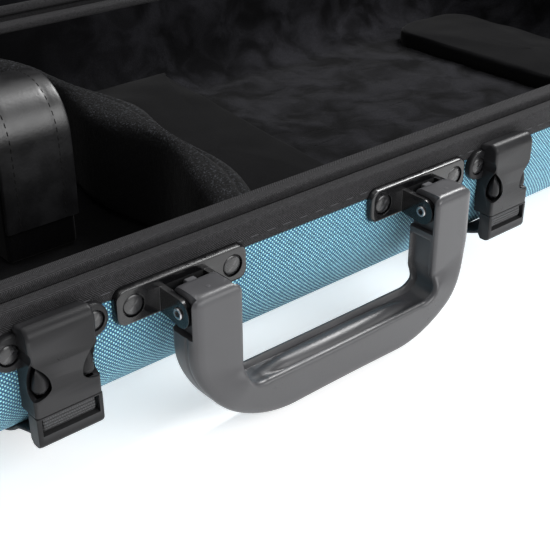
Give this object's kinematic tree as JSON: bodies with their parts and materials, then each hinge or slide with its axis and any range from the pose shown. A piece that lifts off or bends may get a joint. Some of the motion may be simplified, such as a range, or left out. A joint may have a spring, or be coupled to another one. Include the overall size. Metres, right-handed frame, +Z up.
{
  "type": "violin case",
  "caption": "Oblong fabric-covered violin case standing open, with hanging handle, side-release buckles, zip rim and velvet-lined interior.",
  "frame": {"origin": "centre of the base's flat underside", "axes": "+X along the case to the end that holds the violin's body, +Y to the hinge side, +Z up out of the base"},
  "size_m": [0.801, 0.4034, 0.3448],
  "materials": {
    "fabric": "light blue canvas weave",
    "tape": "black herringbone tape",
    "velvet": "black velvet",
    "plush": "black short plush",
    "leather": "black satin leather-like sheet",
    "webbing": "ribbed black webbing",
    "handle_plastic": "dark grey, fine satin",
    "buckle_plastic": "black, fine satin",
    "bracket_metal": "gloss black enamel",
    "black_metal": "blackened steel",
    "hinge_steel": "satin steel",
    "rubber": "matt black",
    "knob_plastic": "black"
  },
  "bodies": {
    "base": {"base_shell": "fabric", "base_lining": "velvet", "base_lip": "tape", "base_zip_tape": "tape", "foot_left_front": "rubber", "foot_left_back": "rubber", "foot_right_front": "rubber", "foot_right_back": "rubber", "hinge_leaf_base_left": "hinge_steel", "hinge_leaf_base_right": "hinge_steel", "hinge_pin_left": "hinge_steel", "hinge_pin_right": "hinge_steel", "handle_bracket_left": "bracket_metal", "handle_bracket_right": "bracket_metal", "handle_pin_left": "black_metal", "handle_pin_right": "black_metal", "bracket_screw_left_left": "black_metal", "bracket_screw_left_right": "black_metal", "bracket_screw_right_left": "black_metal", "bracket_screw_right_right": "black_metal", "buckle_socket_left": "buckle_plastic", "buckle_socket_right": "buckle_plastic", "buckle_rivet_left_left": "black_metal", "buckle_rivet_left_right": "black_metal", "buckle_rivet_right_left": "black_metal", "buckle_rivet_right_right": "black_metal", "webbing_left": "webbing", "webbing_right": "webbing", "neck_cradle": "velvet", "shoulder_wall": "plush", "pad_upper": "velvet", "pad_lower": "velvet", "compartment_wall": "velvet", "lid_stay_left": "webbing", "lid_stay_right": "webbing"},
    "lid": {"lid_shell": "fabric", "lid_lining": "velvet", "lid_zip_tape": "tape", "hinge_leaf_lid_left": "hinge_steel", "hinge_leaf_lid_right": "hinge_steel", "bow_tip_loop_front": "webbing", "bow_tip_loop_back": "webbing"},
    "bow_spinner_front": {"bow_spinner_front": "knob_plastic"},
    "bow_spinner_back": {"bow_spinner_back": "knob_plastic"},
    "handle": {"handle": "handle_plastic"},
    "plug_left": {"buckle_plug_left": "buckle_plastic"},
    "plug_right": {"buckle_plug_right": "buckle_plastic"},
    "prong_left_left": {"buckle_prong_left_left": "buckle_plastic"},
    "prong_left_right": {"buckle_prong_left_right": "buckle_plastic"},
    "prong_right_left": {"buckle_prong_right_left": "buckle_plastic"},
    "prong_right_right": {"buckle_prong_right_right": "buckle_plastic"},
    "neck_strap": {"neck_strap": "leather"},
    "compartment_lid": {"compartment_lid": "velvet", "compartment_tab": "leather"},
    "slider_left": {"zip_slider_left": "black_metal"},
    "slider_right": {"zip_slider_right": "black_metal"},
    "puller_left": {"zip_puller_left": "black_metal"},
    "puller_right": {"zip_puller_right": "black_metal"}
  },
  "joints": [
    {"name": "lid_hinge", "type": "hinge", "parent": "base", "child": "lid", "pos_m": [0, 0.1399, 0.0623], "axis": [-1, 0, 0], "range_deg": [-100, 0], "deforming": ["lid_stay_left", "lid_stay_right"]},
    {"name": "handle_swing", "type": "hinge", "parent": "base", "child": "handle", "pos_m": [0, -0.1507, 0.0457], "axis": [-1, 0, 0], "range_deg": [-8, 90]},
    {"name": "plug_left", "type": "slide", "parent": "base", "child": "plug_left", "axis": [0, 0, -1], "range_m": [0, 0.02], "deforming": ["webbing_left"]},
    {"name": "plug_right", "type": "slide", "parent": "base", "child": "plug_right", "axis": [0, 0, -1], "range_m": [0, 0.02], "deforming": ["webbing_right"]},
    {"name": "prong_left_left", "type": "hinge", "parent": "plug_left", "child": "prong_left_left", "pos_m": [-0.118, -0.1426, 0.0259], "axis": [0, 1, 0], "range_deg": [0, 11], "stiffness_Nm_per_rad": 0.05},
    {"name": "prong_left_right", "type": "hinge", "parent": "plug_left", "child": "prong_left_right", "pos_m": [-0.104, -0.1426, 0.0259], "axis": [0, -1, 0], "range_deg": [0, 11], "stiffness_Nm_per_rad": 0.05},
    {"name": "prong_right_left", "type": "hinge", "parent": "plug_right", "child": "prong_right_left", "pos_m": [0.104, -0.1426, 0.0259], "axis": [0, 1, 0], "range_deg": [0, 11], "stiffness_Nm_per_rad": 0.05},
    {"name": "prong_right_right", "type": "hinge", "parent": "plug_right", "child": "prong_right_right", "pos_m": [0.118, -0.1426, 0.0259], "axis": [0, -1, 0], "range_deg": [0, 11], "stiffness_Nm_per_rad": 0.05},
    {"name": "neck_strap_hinge", "type": "hinge", "parent": "base", "child": "neck_strap", "pos_m": [-0.0505, 0.0247, 0.061], "axis": [-1, 0, 0], "range_deg": [0, 100], "deforming": ["neck_strap"]},
    {"name": "compartment_lid_hinge", "type": "hinge", "parent": "base", "child": "compartment_lid", "pos_m": [-0.3095, 0.122, 0.0603], "axis": [-1, 0, 0], "range_deg": [0, 85]},
    {"name": "bow_spinner_front_turn", "type": "hinge", "parent": "lid", "child": "bow_spinner_front", "pos_m": [-0.29, 0.22709, 0.25905], "axis": [0, -0.9848, 0.1736], "range_deg": [0, 90]},
    {"name": "bow_spinner_back_turn", "type": "hinge", "parent": "lid", "child": "bow_spinner_back", "pos_m": [-0.29, 0.20313, 0.12315], "axis": [0, -0.9848, 0.1736], "range_deg": [0, 90]},
    {"name": "zip_slider_left", "type": "slide", "parent": "base", "child": "slider_left", "axis": [0, -1, 0], "range_m": [0, 0.15]},
    {"name": "zip_puller_left", "type": "hinge", "parent": "slider_left", "child": "puller_left", "pos_m": [-0.3997, 0.069, 0.0623], "axis": [0, 1, 0], "range_deg": [0, 150]},
    {"name": "zip_slider_right", "type": "slide", "parent": "base", "child": "slider_right", "axis": [0, -1, 0], "range_m": [0, 0.15]},
    {"name": "zip_puller_right", "type": "hinge", "parent": "slider_right", "child": "puller_right", "pos_m": [0.3997, 0.069, 0.0623], "axis": [0, -1, 0], "range_deg": [0, 150]}
  ]
}
